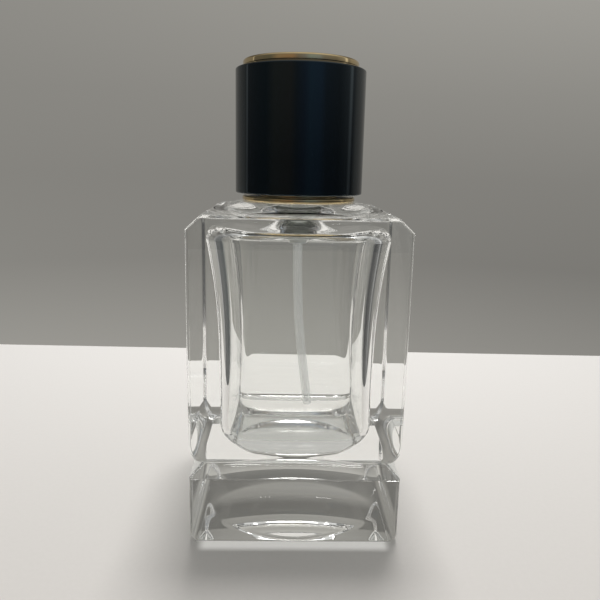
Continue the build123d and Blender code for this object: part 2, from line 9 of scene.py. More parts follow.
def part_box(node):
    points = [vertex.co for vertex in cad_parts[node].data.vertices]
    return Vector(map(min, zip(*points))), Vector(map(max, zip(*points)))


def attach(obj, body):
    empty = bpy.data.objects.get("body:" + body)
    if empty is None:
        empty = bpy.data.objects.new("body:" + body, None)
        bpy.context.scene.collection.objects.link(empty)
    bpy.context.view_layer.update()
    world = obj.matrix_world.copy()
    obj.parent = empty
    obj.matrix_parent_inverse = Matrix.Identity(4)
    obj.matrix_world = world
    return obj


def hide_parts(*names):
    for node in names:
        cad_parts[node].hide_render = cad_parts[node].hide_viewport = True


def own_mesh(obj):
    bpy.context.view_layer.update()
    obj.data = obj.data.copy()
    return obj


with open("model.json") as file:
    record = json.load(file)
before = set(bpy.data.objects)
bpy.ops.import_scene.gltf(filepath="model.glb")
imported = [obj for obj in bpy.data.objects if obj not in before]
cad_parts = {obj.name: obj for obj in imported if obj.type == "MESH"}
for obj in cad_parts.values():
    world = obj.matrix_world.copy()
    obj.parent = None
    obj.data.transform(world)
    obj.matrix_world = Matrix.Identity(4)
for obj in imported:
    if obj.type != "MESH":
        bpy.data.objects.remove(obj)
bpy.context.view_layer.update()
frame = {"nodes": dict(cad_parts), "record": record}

# Looks of a square glass aftershave bottle: clear glass, gloss black cap, gold trim.
# Metres, Z up, the bottle's axis on the Z axis and its front facing -Y.

MM = 0.001

GLASS_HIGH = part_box("glass_bottle")[1]
CAP_LOW, CAP_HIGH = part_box("cap_shell")
RING_LOW, RING_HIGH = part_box("cap_ring")
DISC_LOW, DISC_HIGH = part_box("cap_disc")
COLLAR_LOW, COLLAR_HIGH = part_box("collar")
SPRING_LOW, SPRING_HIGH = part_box("return_spring")

# ---------------------------------------------------------------- glass sizes

GLASS_HALF = GLASS_HIGH.x
NECK_TOP = GLASS_HIGH.z
NECK_HEIGHT = 10.1 * MM
DECK = NECK_TOP - NECK_HEIGHT
CORNER_ROUND = 1.0 * MM
PUNT_RADIUS = 21.3 * MM
PUNT_DEPTH = 1.3 * MM
FOOT_SIDE_ROUND = 2.0 * MM
FOOT_FRONT_ROUND = 0.6 * MM
FOOT_TOP_ROUND = 0.3 * MM
FOOT_TOP = 15.8 * MM
WAIST = 18.7 * MM
WAIST_INSET = 2.9 * MM
WAIST_FLAT = 0.1 * MM
WAIST_ROUND = 0.25 * MM
HEEL_WIDTH = 2.6 * MM
HEEL_HEIGHT = 5.6 * MM
CLIP_WIDTH = 3.2 * MM
CLIP_HEIGHT = 3.0 * MM
DECK_EDGE = 0.6 * MM
EDGE_ROUND = 0.5 * MM
SHOULDER_RADIUS = 20.2 * MM
SEAT_RADIUS = 13.6 * MM
SEAT_RISE = 1.9 * MM
SEAT = DECK + SEAT_RISE
NECK_RADIUS = 6.5 * MM
BEAD_RADIUS = 7.35 * MM
BEAD_HEIGHT = 3.5 * MM
BEAD_BOTTOM = NECK_TOP - BEAD_HEIGHT
BEAD_SLOPE = 0.8 * MM
NECK_FOOT_ROUND = 0.8 * MM
BEAD_UNDER_ROUND = 0.4 * MM
BEAD_ROUND = 0.3 * MM
LIP_ROUND = 0.5 * MM
BORE_RADIUS = 4.5 * MM

HOLLOW_HALF_DEPTH = 14.5 * MM
HOLLOW_BOTTOM = 19.4 * MM
HOLLOW_TOP = 70.2 * MM
HOLLOW_FOOT_HALF = 17.45 * MM
HOLLOW_TOP_HALF = 21.7 * MM
HOLLOW_FOOT_CORNER = 6.5 * MM
HOLLOW_TOP_CORNER = 2.4 * MM
HOLLOW_EDGE = 3.5 * MM
HOLLOW_FLOOR_EDGE = 6.0 * MM
HOLLOW_TOP_EDGE = 11.0 * MM
FLOOR_SAG = 0.9 * MM
ROOF_RISE = 0.7 * MM
ROOF_FLAT = 9.0 * MM
ROOF_END = 17.0 * MM
ROOF_BLEND = 8 * MM
FUNNEL_RADIUS = 10.5 * MM
FUNNEL_RISE = 3.9 * MM

AIR_GAP = 0.02 * MM       # a film of air, so that touching surfaces don't share one plane

CORNER_STEPS = 10
SIDE_STEPS = 28
LATHE_STEP = 3.0 * MM
LATHE_SEGMENTS = 192
WIRE_SEGMENTS = 16
WIRE_RINGS = 217

# ---------------------------------------------------------------- metal and plastic sizes

CAP_WALL = 1.6 * MM
CAP_ROOF_THICKNESS = 2.6 * MM
CAP_SLOPE_WIDTH = 1.7 * MM
CAP_SLOPE_HEIGHT = 0.7 * MM
CAP_EDGE_ROUND = 0.35 * MM
CAP_LIP_ROUND = 0.4 * MM
RING_BORE = 10.9 * MM
RING_STEP = 0.45 * MM
RING_ROUND = 0.5 * MM
DISC_ROUND = 0.2 * MM
COLLAR_BORE = 8.97 * MM
COLLAR_RADIUS = 9.4 * MM
COLLAR_LIP_RADIUS = 7.3 * MM
COLLAR_LIP_THICKNESS = 0.5 * MM
COLLAR_FLANGE_THICKNESS = 1.25 * MM
COLLAR_UPPER_ROUND = 0.5 * MM
COLLAR_LOWER_ROUND = 0.4 * MM
COLLAR_TOP_ROUND = 0.35 * MM
BROKEN_EDGE = 0.1 * MM
SPRING_WIRE = 0.4 * MM
SPRING_TURNS = 4.5

# ---------------------------------------------------------------- studio sizes and light

FLOOR_BACK = 124 * MM
FLOOR_SKEW = 3.0 * MM
FLOOR_SIDE = 150 * MM
FLOOR_FRONT = 500 * MM
# Where the floor's painted shade starts to darken it towards the front.
FLOOR_PAINTED_SHADE_START = -60 * MM

# The floor under the foot is lit from within, in place of light that real glass would gather there.
GATHER_SIDE = 20 * MM
GATHER_FRONT = 25.0 * MM
GATHER_BACK = 20 * MM
GATHER_SOFTNESS = 2.5 * MM
GATHER_STRENGTH = 0.3

# The suction tube glows faintly, in place of daylight scattered inside its milky wall.
TUBE_GLOW = 0.10
TUBE_COVER = (0.22, 0.50)

LAMPLIGHT_THROUGH_GLASS = 0.2
LAMP_PLACE = (0.02, 0.13, 0.60)
LAMP_TARGET = (0, 0, 0.02)
LAMP_SIZE = 0.16
LAMP_POWER = 3.0
LAMP_COLOUR = (1, 0.985, 0.965)

STREAK_SCALE = 0.125      # keeps the streaks' ramp colours at or below 1
LOWEST_TILT = -0.15
WARM = (1.03, 1.0, 0.92)

# Grey of the wall behind and of the room in front, by height from -1 (down) to 1 (up).
WALL_GREYS = [
    (-0.6, 0.31), (-0.287, 0.29), (-0.23, 0.26), (-0.15, 0.215), (-0.02, 0.22), (0.103, 0.25),
    (0.24, 0.30), (0.36, 0.26), (0.5, 0.14), (0.7, 0.16), (0.9, 0.6), (1.0, 0.7),
]
ROOM_GREYS = [
    (-1.0, 0.15), (-0.1, 0.05), (0.0, 0.06), (0.15, 0.13), (0.45, 0.22), (0.8, 0.55), (1.0, 0.7),
]

# The room's windows and coloured patches, which the cap mirrors: degrees round from the front, colour.
STREAKS = [
    (-110, (1.2, 1.2, 1.2)), (-108.5, (6, 6, 6)), (-106.5, (6, 6, 6)), (-104, (1.3, 1.3, 1.3)),
    (-62, (1.1, 1.2, 1.2)), (-46, (2.4, 2.0, 1.6)), (-18, (2.4, 1.8, 1.4)), (-7, (1.4, 1.4, 1.5)),
    (6, (1.4, 1.6, 2.2)), (16, (1.7, 2.4, 3.2)), (34, (1.6, 2.1, 2.9)), (44, (1.3, 1.4, 1.6)),
    (70, (1.2, 1.2, 1.2)), (92, (2.0, 2.0, 2.0)), (96, (5, 5, 5)), (99, (5, 5, 5)), (103, (1.4, 1.4, 1.4)),
]
HIGHEST_TILT = 0.25

CAMERA_PLACE = (-3.16 * MM, -147.8 * MM, 84.9 * MM)
CAMERA_PITCH = math.radians(12.64)
CAMERA_YAW = math.radians(1.57)
CAMERA_ROLL = math.radians(1.24)
CAMERA_LENS = 36.5


# ---------------------------------------------------------------- mesh helpers

def new_object(name, vertices, faces, material):
    """A smooth-shaded object from vertex and face lists."""
    mesh = bpy.data.meshes.new(name)
    mesh.from_pydata([tuple(v) for v in vertices], [], [tuple(f) for f in faces])
    mesh.validate()
    mesh.shade_smooth()
    mesh.materials.append(material)
    obj = bpy.data.objects.new(name, mesh)
    bpy.context.scene.collection.objects.link(obj)
    return obj


def keep_flats_flat(obj):
    """Normals weighted by face size, so that flats stay flat right up to their rounded edges."""
    weighted = obj.modifiers.new("flats", "WEIGHTED_NORMAL")
    weighted.mode = "FACE_AREA"
    weighted.weight = 100
    weighted.keep_sharp = False


def stand_in(obj, body, node):
    """obj rides on a body in place of one CAD node, which is hidden."""
    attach(obj, body)
    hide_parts(node)
    return obj


def loft(rings, close_start=False, close_end=False, join_ends=False):
    """Vertices and faces of a skin through rings of equal length."""
    count = len(rings[0])
    vertices = [point for ring in rings for point in ring]
    faces = []
    pairs = [(level, level + 1) for level in range(len(rings) - 1)]
    if join_ends:
        pairs.append((len(rings) - 1, 0))
    for first, second in pairs:
        low, high = first * count, second * count
        for i in range(count):
            j = (i + 1) % count
            faces.append((low + i, low + j, high + j, high + i))
    if close_start:
        vertices.append(tuple(np.mean(rings[0], axis=0)))
        faces += [(len(vertices) - 1, (i + 1) % count, i) for i in range(count)]
    if close_end:
        top = (len(rings) - 1) * count
        vertices.append(tuple(np.mean(rings[-1], axis=0)))
        faces += [(len(vertices) - 1, top + i, top + (i + 1) % count) for i in range(count)]
    return vertices, faces


def rounded_path(corners):
    """An open path of (a, b, radius) corners, with each corner of radius above 0 turned into an arc."""
    path = []
    for k, (a, b, radius) in enumerate(corners):
        point = np.array((a, b), float)
        if radius <= 0 or k in (0, len(corners) - 1):
            path.append(point)
            continue
        before = np.array(corners[k - 1][:2], float) - point
        after = np.array(corners[k + 1][:2], float) - point
        before /= np.linalg.norm(before)
        after /= np.linalg.norm(after)
        half = math.acos(max(-1.0, min(1.0, float(before @ after)))) / 2
        reach = radius / math.tan(half)
        centre = point + (before + after) / np.linalg.norm(before + after) * radius / math.sin(half)
        start = point + before * reach - centre
        end = point + after * reach - centre
        first = math.atan2(start[1], start[0])
        turn = math.atan2(end[1], end[0]) - first
        turn = (turn + math.pi) % (2 * math.pi) - math.pi
        steps = max(3, int(abs(turn) / math.radians(9)))
        for s in range(steps + 1):
            angle = first + turn * s / steps
            path.append(centre + radius * np.array((math.cos(angle), math.sin(angle))))
    return np.array(path)


def rectangle_ring(half_x, half_y, corner, z):
    """A level ring round a rectangle with rounded corners, always with the same number of points."""
    corner = min(corner, half_x * 0.98, half_y * 0.98)
    points = []
    for quarter in range(4):
        start = quarter * math.pi / 2
        sign_x = 1 if quarter in (0, 3) else -1
        sign_y = 1 if quarter in (0, 1) else -1
        centre = (sign_x * (half_x - corner), sign_y * (half_y - corner))
        for s in range(CORNER_STEPS + 1):
            angle = start + math.pi / 2 * s / CORNER_STEPS
            points.append((centre[0] + corner * math.cos(angle), centre[1] + corner * math.sin(angle)))
        next_x = 1 if (quarter + 1) % 4 in (0, 3) else -1
        next_y = 1 if (quarter + 1) % 4 in (0, 1) else -1
        turn = (quarter + 1) * math.pi / 2
        target = (
            next_x * (half_x - corner) + corner * math.cos(turn),
            next_y * (half_y - corner) + corner * math.sin(turn),
        )
        last = points[-1]
        for s in range(1, SIDE_STEPS):
            share = s / SIDE_STEPS
            x = last[0] + (target[0] - last[0]) * share
            y = last[1] + (target[1] - last[1]) * share
            points.append((x, y))
    return [(x, y, z) for x, y in points]


def circle_ring(radius, z, angles):
    """A level circle with its points at given angles."""
    return [(radius * math.cos(a), radius * math.sin(a), z) for a in angles]


def between_rings(start, end, share):
    """A ring part of the way from one ring to another."""
    return [tuple(a + (b - a) * share for a, b in zip(p, q)) for p, q in zip(start, end)]


def even_steps(path, longest):
    """A path with its long straights divided, so that no step is longer than the given length."""
    dense = [path[0]]
    for end in path[1:]:
        start = dense[-1]
        pieces = max(1, math.ceil(float(np.linalg.norm(end - start)) / longest))
        dense += [start + (end - start) * k / pieces for k in range(1, pieces + 1)]
    return np.array(dense)


def lathe(name, corners, material):
    """A solid of revolution from anticlockwise (radius, height, round) corners; it may start on the axis."""
    on_axis = corners[0][0] == 0
    if on_axis:
        path = even_steps(rounded_path(corners), LATHE_STEP)[1:-1]
    else:
        start = (np.array(corners[-1][:2]) + np.array(corners[0][:2])) / 2
        path = even_steps(rounded_path([(*start, 0), *corners, (*start, 0)])[:-1], LATHE_STEP)
    angles = [2 * math.pi * k / LATHE_SEGMENTS for k in range(LATHE_SEGMENTS)]
    rings = [circle_ring(r, z, angles) for r, z in path]
    vertices, faces = loft(rings, close_start=on_axis, close_end=on_axis, join_ends=not on_axis)
    obj = new_object(name, vertices, faces, material)
    keep_flats_flat(obj)
    return obj


# ---------------------------------------------------------------- material helpers

def new_material(name):
    """An empty node material with its Principled shader."""
    material = bpy.data.materials.new(name)
    material.use_nodes = True
    nodes = material.node_tree.nodes
    shader = next(n for n in nodes if n.type == "BSDF_PRINCIPLED")
    return material, shader


def link(material, source, target):
    material.node_tree.links.new(source, target)


def noise_node(material, scale, detail=3.0, stretch=(1, 1, 1)):
    """A 3-D noise over the object's own coordinates, in features per metre."""
    nodes = material.node_tree.nodes
    place = nodes.new("ShaderNodeTexCoord")
    mapping = nodes.new("ShaderNodeMapping")
    mapping.inputs["Scale"].default_value = stretch
    texture = nodes.new("ShaderNodeTexNoise")
    texture.inputs["Scale"].default_value = scale
    texture.inputs["Detail"].default_value = detail
    link(material, place.outputs["Object"], mapping.inputs["Vector"])
    link(material, mapping.outputs["Vector"], texture.inputs["Vector"])
    return texture.outputs["Fac"]


def spread(material, value, low, high):
    """A 0 to 1 value stretched to run from low to high."""
    node = material.node_tree.nodes.new("ShaderNodeMapRange")
    node.inputs["To Min"].default_value = low
    node.inputs["To Max"].default_value = high
    link(material, value, node.inputs["Value"])
    return node.outputs["Result"]


def mix_colour(material, factor, low, high):
    """A colour between two colours."""
    node = material.node_tree.nodes.new("ShaderNodeMix")
    node.data_type = "RGBA"
    node.inputs["A"].default_value = (*low, 1)
    node.inputs["B"].default_value = (*high, 1)
    link(material, factor, node.inputs["Factor"])
    return node.outputs["Result"]


def add_bump(material, shader, height, depth, strength=1.0):
    """A bump of a real depth in metres."""
    node = material.node_tree.nodes.new("ShaderNodeBump")
    node.inputs["Distance"].default_value = depth
    node.inputs["Strength"].default_value = strength
    link(material, height, node.inputs["Height"])
    link(material, node.outputs["Normal"], shader.inputs["Normal"])


def let_light_through(material, shader, lamp_share, colour):
    """Bounced light goes straight through a glass material, and so does a share of the lamplight."""
    nodes = material.node_tree.nodes
    path = nodes.new("ShaderNodeLightPath")
    amount = nodes.new("ShaderNodeMath")
    amount.operation = "MULTIPLY_ADD"
    amount.use_clamp = True
    link(material, path.outputs["Is Shadow Ray"], amount.inputs[0])
    amount.inputs[1].default_value = lamp_share
    link(material, path.outputs["Is Diffuse Ray"], amount.inputs[2])
    clear = nodes.new("ShaderNodeBsdfTransparent")
    clear.inputs["Color"].default_value = (*colour, 1)
    mix = nodes.new("ShaderNodeMixShader")
    link(material, amount.outputs["Value"], mix.inputs["Fac"])
    link(material, shader.outputs["BSDF"], mix.inputs[1])
    link(material, clear.outputs["BSDF"], mix.inputs[2])
    output = next(n for n in nodes if n.type == "OUTPUT_MATERIAL")
    link(material, mix.outputs["Shader"], output.inputs["Surface"])


# ---------------------------------------------------------------- materials

def clear_glass():
    """Clear flint glass with the faint waviness of a moulded bottle."""
    material, shader = new_material("clear_glass")
    shader.inputs["Transmission Weight"].default_value = 1.0
    shader.inputs["IOR"].default_value = 1.52
    tint = mix_colour(material, noise_node(material, 60, 1.0), (0.965, 0.975, 0.962), (0.98, 0.986, 0.975))
    link(material, tint, shader.inputs["Base Color"])
    shader.inputs["Roughness"].default_value = 0.0
    add_bump(material, shader, noise_node(material, 120, 1.0), 0.004 * MM)
    let_light_through(material, shader, LAMPLIGHT_THROUGH_GLASS, (0.95, 0.96, 0.95))
    return material


def gloss_black():
    """Polished blue-black lacquer with very fine wiping marks."""
    material, shader = new_material("gloss_black")
    patches = noise_node(material, 400)
    colour = mix_colour(material, patches, (0.0012, 0.0022, 0.0042), (0.0022, 0.0030, 0.0050))
    link(material, colour, shader.inputs["Base Color"])
    marks = noise_node(material, 900, 4.0, (1, 1, 0.15))
    link(material, spread(material, marks, 0.01, 0.035), shader.inputs["Roughness"])
    shader.inputs["IOR"].default_value = 1.5
    shader.inputs["Specular Tint"].default_value = (0.62, 0.88, 1.0, 1)
    add_bump(material, shader, noise_node(material, 300, 2.0), 0.0003 * MM)
    return material


def gold_metal():
    """Polished gold anodised aluminium with a fine turned grain round the axis."""
    material, shader = new_material("gold_metal")
    colour = mix_colour(material, noise_node(material, 500), (0.60, 0.46, 0.25), (0.68, 0.54, 0.31))
    link(material, colour, shader.inputs["Base Color"])
    shader.inputs["Metallic"].default_value = 1.0
    grain = noise_node(material, 700, 3.0, (0.2, 0.2, 6))
    link(material, spread(material, grain, 0.04, 0.10), shader.inputs["Roughness"])
    add_bump(material, shader, grain, 0.0008 * MM)
    return material


def plain_metal(name, low, high, roughness):
    """Bare metal with drawn or turned marks."""
    material, shader = new_material(name)
    colour = mix_colour(material, noise_node(material, 700), low, high)
    link(material, colour, shader.inputs["Base Color"])
    shader.inputs["Metallic"].default_value = 1.0
    grain = noise_node(material, 900, 3.0, (0.3, 0.3, 4))
    link(material, spread(material, grain, roughness * 0.7, roughness * 1.4), shader.inputs["Roughness"])
    add_bump(material, shader, grain, 0.002 * MM)
    return material


def moulded_plastic(name, low, high, roughness, clearness=0.0):
    """Moulded plastic with a fine surface grain; clearness lets some light through."""
    material, shader = new_material(name)
    colour = mix_colour(material, noise_node(material, 350), low, high)
    link(material, colour, shader.inputs["Base Color"])
    grain = noise_node(material, 2500, 3.0)
    link(material, spread(material, grain, roughness * 0.8, roughness * 1.25), shader.inputs["Roughness"])
    shader.inputs["Transmission Weight"].default_value = clearness
    shader.inputs["IOR"].default_value = 1.5
    add_bump(material, shader, grain, 0.004 * MM)
    if clearness > 0:
        let_light_through(material, shader, clearness, high)
    return material


def thin_clear_plastic():
    """The suction tube's plastic: thin enough to see through, with a milky sheen."""
    material, shader = new_material("tube_plastic")
    colour = mix_colour(material, noise_node(material, 350), (0.90, 0.91, 0.90), (0.96, 0.97, 0.96))
    link(material, colour, shader.inputs["Base Color"])
    grain = noise_node(material, 2500, 3.0)
    link(material, spread(material, grain, 0.12, 0.25), shader.inputs["Roughness"])
    add_bump(material, shader, grain, 0.003 * MM)
    nodes = material.node_tree.nodes
    milky = nodes.new("ShaderNodeLayerWeight")
    milky.inputs["Blend"].default_value = 0.35
    cover = spread(material, milky.outputs["Facing"], *TUBE_COVER)
    link(material, cover, shader.inputs["Alpha"])
    shader.inputs["Emission Color"].default_value = (0.96, 0.97, 0.96, 1)
    shader.inputs["Emission Strength"].default_value = TUBE_GLOW
    return material


# ---------------------------------------------------------------- glass

def outer_sections():
    """(half width, half depth, height) of the block's outside from the base up to the deck."""
    heel = [
        (HEEL_WIDTH * (1 - math.sin(a)), WAIST + HEEL_HEIGHT * (1 - math.cos(a)), 0)
        for a in np.linspace(0.12, math.pi / 2, 16)
    ]

    def foot(rounding):
        return [
            (rounding, 0, 0),
            *[
                (rounding * (1 - math.sin(a)), rounding * (1 - math.cos(a)), 0)
                for a in np.linspace(0.1, math.pi / 2, 10)
            ],
            (0, FOOT_TOP, FOOT_TOP_ROUND),
            (WAIST_INSET, WAIST - WAIST_FLAT, WAIST_ROUND),
        ]

    def deck(clip_width, clip_height):
        return [
            (0, DECK - clip_height, EDGE_ROUND),
            (clip_width, DECK, EDGE_ROUND),
            (2 * CLIP_WIDTH, DECK, 0),
        ]

    across = rounded_path([*foot(FOOT_SIDE_ROUND), *heel, *deck(CLIP_WIDTH, CLIP_HEIGHT)])
    along = rounded_path([*foot(FOOT_FRONT_ROUND), *heel, *deck(DECK_EDGE, DECK_EDGE)])
    levels = np.unique(np.round(np.concatenate([across[:, 1], along[:, 1]]), 8))
    inset_x = np.interp(levels, across[:, 1], across[:, 0])
    inset_y = np.interp(levels, along[:, 1], along[:, 0])
    return [(GLASS_HALF - x, GLASS_HALF - y, z) for x, y, z in zip(inset_x, inset_y, levels)]


def hollow_sections():
    """(half width, half depth, height) of the hollow from its roof down to its floor."""
    def flare(t):
        return HOLLOW_FOOT_HALF + (HOLLOW_TOP_HALF - HOLLOW_FOOT_HALF) * t**3

    straight = HOLLOW_TOP - HOLLOW_BOTTOM
    side = [(flare(t), HOLLOW_BOTTOM + straight * t, 0) for t in np.linspace(0.18, 0.95, 40)]
    across = rounded_path(
        [
            (0, HOLLOW_BOTTOM, 0),
            (flare(0.0), HOLLOW_BOTTOM, HOLLOW_FOOT_CORNER),
            *side,
            (flare(1.0), HOLLOW_TOP, HOLLOW_TOP_CORNER),
            (0, HOLLOW_TOP, 0),
        ]
    )
    along = rounded_path(
        [
            (0, HOLLOW_BOTTOM, 0),
            (HOLLOW_HALF_DEPTH, HOLLOW_BOTTOM, HOLLOW_FLOOR_EDGE),
            (HOLLOW_HALF_DEPTH, HOLLOW_TOP, HOLLOW_TOP_CORNER),
            (0, HOLLOW_TOP, 0),
        ]
    )
    levels = np.unique(np.round(np.concatenate([across[1:-1, 1], along[1:-1, 1]]), 8))
    half_x = np.interp(levels, across[1:-1, 1], across[1:-1, 0])
    half_y = np.interp(levels, along[1:-1, 1], along[1:-1, 0])
    return list(zip(half_x, half_y, levels))[::-1]


def smooth_step(value, low, high):
    t = min(1.0, max(0.0, (value - low) / (high - low)))
    return t * t * (3 - 2 * t)


def hang_roof_and_floor(point):
    """The hollow's roof rises towards its left and right ends, and its floor sags in the middle."""
    x, y, z = point
    near_roof = smooth_step(z, HOLLOW_TOP - ROOF_BLEND, HOLLOW_TOP)
    near_floor = 1 - smooth_step(z, HOLLOW_BOTTOM, HOLLOW_BOTTOM + HOLLOW_FOOT_CORNER)
    rise = ROOF_RISE * smooth_step(abs(x), ROOF_FLAT, ROOF_END)
    sag = FLOOR_SAG * max(0.0, 1 - (x / HOLLOW_FOOT_HALF) ** 2)
    return (x, y, z + rise * near_roof - sag * near_floor)


def hollow_rings(angles):
    """The rings of the hollow: from the funnel's mouth over the roof, down the walls and across the floor."""
    walls = []
    for half_x, half_y, z in hollow_sections():
        share = (z - HOLLOW_BOTTOM) / (HOLLOW_TOP - HOLLOW_BOTTOM)
        edge = HOLLOW_EDGE + (HOLLOW_TOP_EDGE - HOLLOW_EDGE) * share
        walls.append(rectangle_ring(half_x, half_y, edge, z))
    mouth = circle_ring(FUNNEL_RADIUS, HOLLOW_TOP, angles)
    roof = [between_rings(mouth, walls[0], share) for share in (0.2, 0.4, 0.6, 0.8)]
    half_x, half_y, bottom = hollow_sections()[-1]
    floor = [
        rectangle_ring(half_x * share, half_y * share, HOLLOW_EDGE * share, bottom)
        for share in (0.85, 0.65, 0.45, 0.25, 0.08)
    ]
    return [[hang_roof_and_floor(point) for point in ring] for ring in (*roof, *walls, *floor)]


def glass_rings():
    """Every ring of the glass in one chain: punt, outside, neck, bore, hollow."""
    outer = [rectangle_ring(hx, hy, CORNER_ROUND, z) for hx, hy, z in outer_sections()]
    angles = [math.atan2(y, x) for x, y, _ in outer[-1]]
    sphere = (PUNT_RADIUS**2 + PUNT_DEPTH**2) / (2 * PUNT_DEPTH)
    punt = [
        circle_ring(r, PUNT_DEPTH - sphere + math.sqrt(sphere**2 - r**2), angles)
        for r in np.linspace(0.04, 1, 12) * PUNT_RADIUS
    ]
    shoulder = [
        (
            SEAT_RADIUS + (SHOULDER_RADIUS - SEAT_RADIUS) * (1 - t),
            DECK + (SEAT - DECK) * smooth_step(t, 0, 1),
        )
        for t in np.linspace(0, 1, 14)
    ]
    neck = rounded_path(
        [
            (SEAT_RADIUS, SEAT, 0),
            (NECK_RADIUS, SEAT, NECK_FOOT_ROUND),
            (NECK_RADIUS, BEAD_BOTTOM, BEAD_UNDER_ROUND),
            (BEAD_RADIUS, BEAD_BOTTOM + BEAD_SLOPE, BEAD_ROUND),
            (BEAD_RADIUS, NECK_TOP - AIR_GAP, LIP_ROUND),
            (BORE_RADIUS, NECK_TOP - AIR_GAP, LIP_ROUND),
            (BORE_RADIUS, HOLLOW_TOP + FUNNEL_RISE, 0),
        ]
    )
    funnel = [
        (
            FUNNEL_RADIUS - (FUNNEL_RADIUS - BORE_RADIUS) * math.sin(a),
            HOLLOW_TOP + FUNNEL_RISE * (1 - math.cos(a)),
        )
        for a in np.linspace(math.pi / 2, 0, 14)
    ]
    round_part = [circle_ring(r, z, angles) for r, z in [*shoulder, *neck[1:], *funnel[1:]]]
    return [*punt, *outer, *round_part, *hollow_rings(angles)]


def build_glass(material):
    """The glass bottle as one closed skin."""
    vertices, faces = loft(glass_rings(), close_start=True, close_end=True)
    glass = new_object("glass_body", vertices, faces, material)
    keep_flats_flat(glass)
    return stand_in(glass, "bottle", "glass_bottle")


# ---------------------------------------------------------------- cap, collar and spring

def build_cap(black, gold):
    """The cap's shell, ring and inlay disc with every edge broken, so that each one catches the light."""
    radius, bottom, top = CAP_HIGH.x, CAP_LOW.z, CAP_HIGH.z
    inner = radius - CAP_WALL
    seat_radius = RING_HIGH.x - RING_STEP
    roof_underside = top - CAP_ROOF_THICKNESS
    seat = RING_LOW.z - AIR_GAP
    shell = [
        (0, roof_underside, 0),
        (inner, roof_underside, BROKEN_EDGE),
        (inner, bottom, BROKEN_EDGE),
        (radius, bottom, CAP_LIP_ROUND),
        (radius, top - CAP_SLOPE_HEIGHT, CAP_EDGE_ROUND),
        (radius - CAP_SLOPE_WIDTH, top, BROKEN_EDGE),
        (seat_radius, top, BROKEN_EDGE),
        (seat_radius, seat, BROKEN_EDGE),
        (0, seat, 0),
    ]
    ring = [
        (RING_BORE, RING_LOW.z, BROKEN_EDGE),
        (seat_radius - AIR_GAP, RING_LOW.z, BROKEN_EDGE),
        (seat_radius - AIR_GAP, top + AIR_GAP, BROKEN_EDGE),
        (RING_HIGH.x, top + AIR_GAP, BROKEN_EDGE),
        (RING_HIGH.x, RING_HIGH.z, RING_ROUND),
        (RING_BORE, RING_HIGH.z, RING_ROUND),
    ]
    disc = [
        (0, DISC_LOW.z, 0),
        (DISC_HIGH.x, DISC_LOW.z, BROKEN_EDGE),
        (DISC_HIGH.x, DISC_HIGH.z, DISC_ROUND),
        (0, DISC_HIGH.z, 0),
    ]
    stand_in(lathe("cap_shell_turned", shell, black), "cap", "cap_shell")
    stand_in(lathe("cap_ring_turned", ring, gold), "cap", "cap_ring")
    stand_in(lathe("cap_disc_turned", disc, black), "cap", "cap_disc")


def build_collar(material):
    """The stepped collar with its rounded flange."""
    flange_top = COLLAR_LOW.z + COLLAR_FLANGE_THICKNESS
    lip_bottom = COLLAR_HIGH.z - COLLAR_LIP_THICKNESS
    outline = [
        (COLLAR_BORE, COLLAR_LOW.z + AIR_GAP, BROKEN_EDGE),
        (COLLAR_HIGH.x, COLLAR_LOW.z + AIR_GAP, COLLAR_LOWER_ROUND),
        (COLLAR_HIGH.x, flange_top, COLLAR_UPPER_ROUND),
        (COLLAR_RADIUS, flange_top, BROKEN_EDGE),
        (COLLAR_RADIUS, COLLAR_HIGH.z, COLLAR_TOP_ROUND),
        (COLLAR_LIP_RADIUS, COLLAR_HIGH.z, BROKEN_EDGE),
        (COLLAR_LIP_RADIUS, lip_bottom, BROKEN_EDGE),
        (COLLAR_BORE, lip_bottom, BROKEN_EDGE),
    ]
    stand_in(lathe("collar_turned", outline, material), "bottle", "collar")


def build_spring(material):
    """The coil spring, with flat-cut ends."""
    coil = SPRING_HIGH.x - SPRING_WIRE / 2
    bottom, top = SPRING_LOW.z + SPRING_WIRE / 2, SPRING_HIGH.z - SPRING_WIRE / 2
    pitch = (top - bottom) / SPRING_TURNS
    lean = math.atan2(pitch, 2 * math.pi * coil)
    round_wire = [2 * math.pi * k / WIRE_SEGMENTS for k in range(WIRE_SEGMENTS)]
    rings = []
    for turn in np.linspace(0, SPRING_TURNS, WIRE_RINGS):
        angle = 2 * math.pi * turn
        outward = np.array((math.cos(angle), math.sin(angle), 0))
        across = math.sin(lean)
        sideways = np.array((math.sin(angle) * across, -math.cos(angle) * across, math.cos(lean)))
        centre = coil * outward + np.array((0, 0, bottom + pitch * turn))
        rings.append([
            centre + SPRING_WIRE / 2 * (outward * math.cos(a) + sideways * math.sin(a)) for a in round_wire
        ])
    vertices, faces = loft([ring[::-1] for ring in rings], close_start=True, close_end=True)
    spring = new_object("return_spring_coil", vertices, faces, material)
    stand_in(spring, "bottle", "return_spring")
    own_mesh(spring)


# ---------------------------------------------------------------- studio

def inside_band(material, value, low, high):
    """1 between two positions and 0 outside them, with soft edges."""
    nodes = material.node_tree.nodes
    rising = nodes.new("ShaderNodeMapRange")
    rising.inputs["From Min"].default_value = low - GATHER_SOFTNESS
    rising.inputs["From Max"].default_value = low
    falling = nodes.new("ShaderNodeMapRange")
    falling.inputs["From Min"].default_value = high + GATHER_SOFTNESS
    falling.inputs["From Max"].default_value = high
    product = nodes.new("ShaderNodeMath")
    product.operation = "MULTIPLY"
    for ramp, socket in ((rising, product.inputs[0]), (falling, product.inputs[1])):
        ramp.interpolation_type = "SMOOTHSTEP"
        link(material, value, ramp.inputs["Value"])
        link(material, ramp.outputs["Result"], socket)
    return product.outputs["Value"]


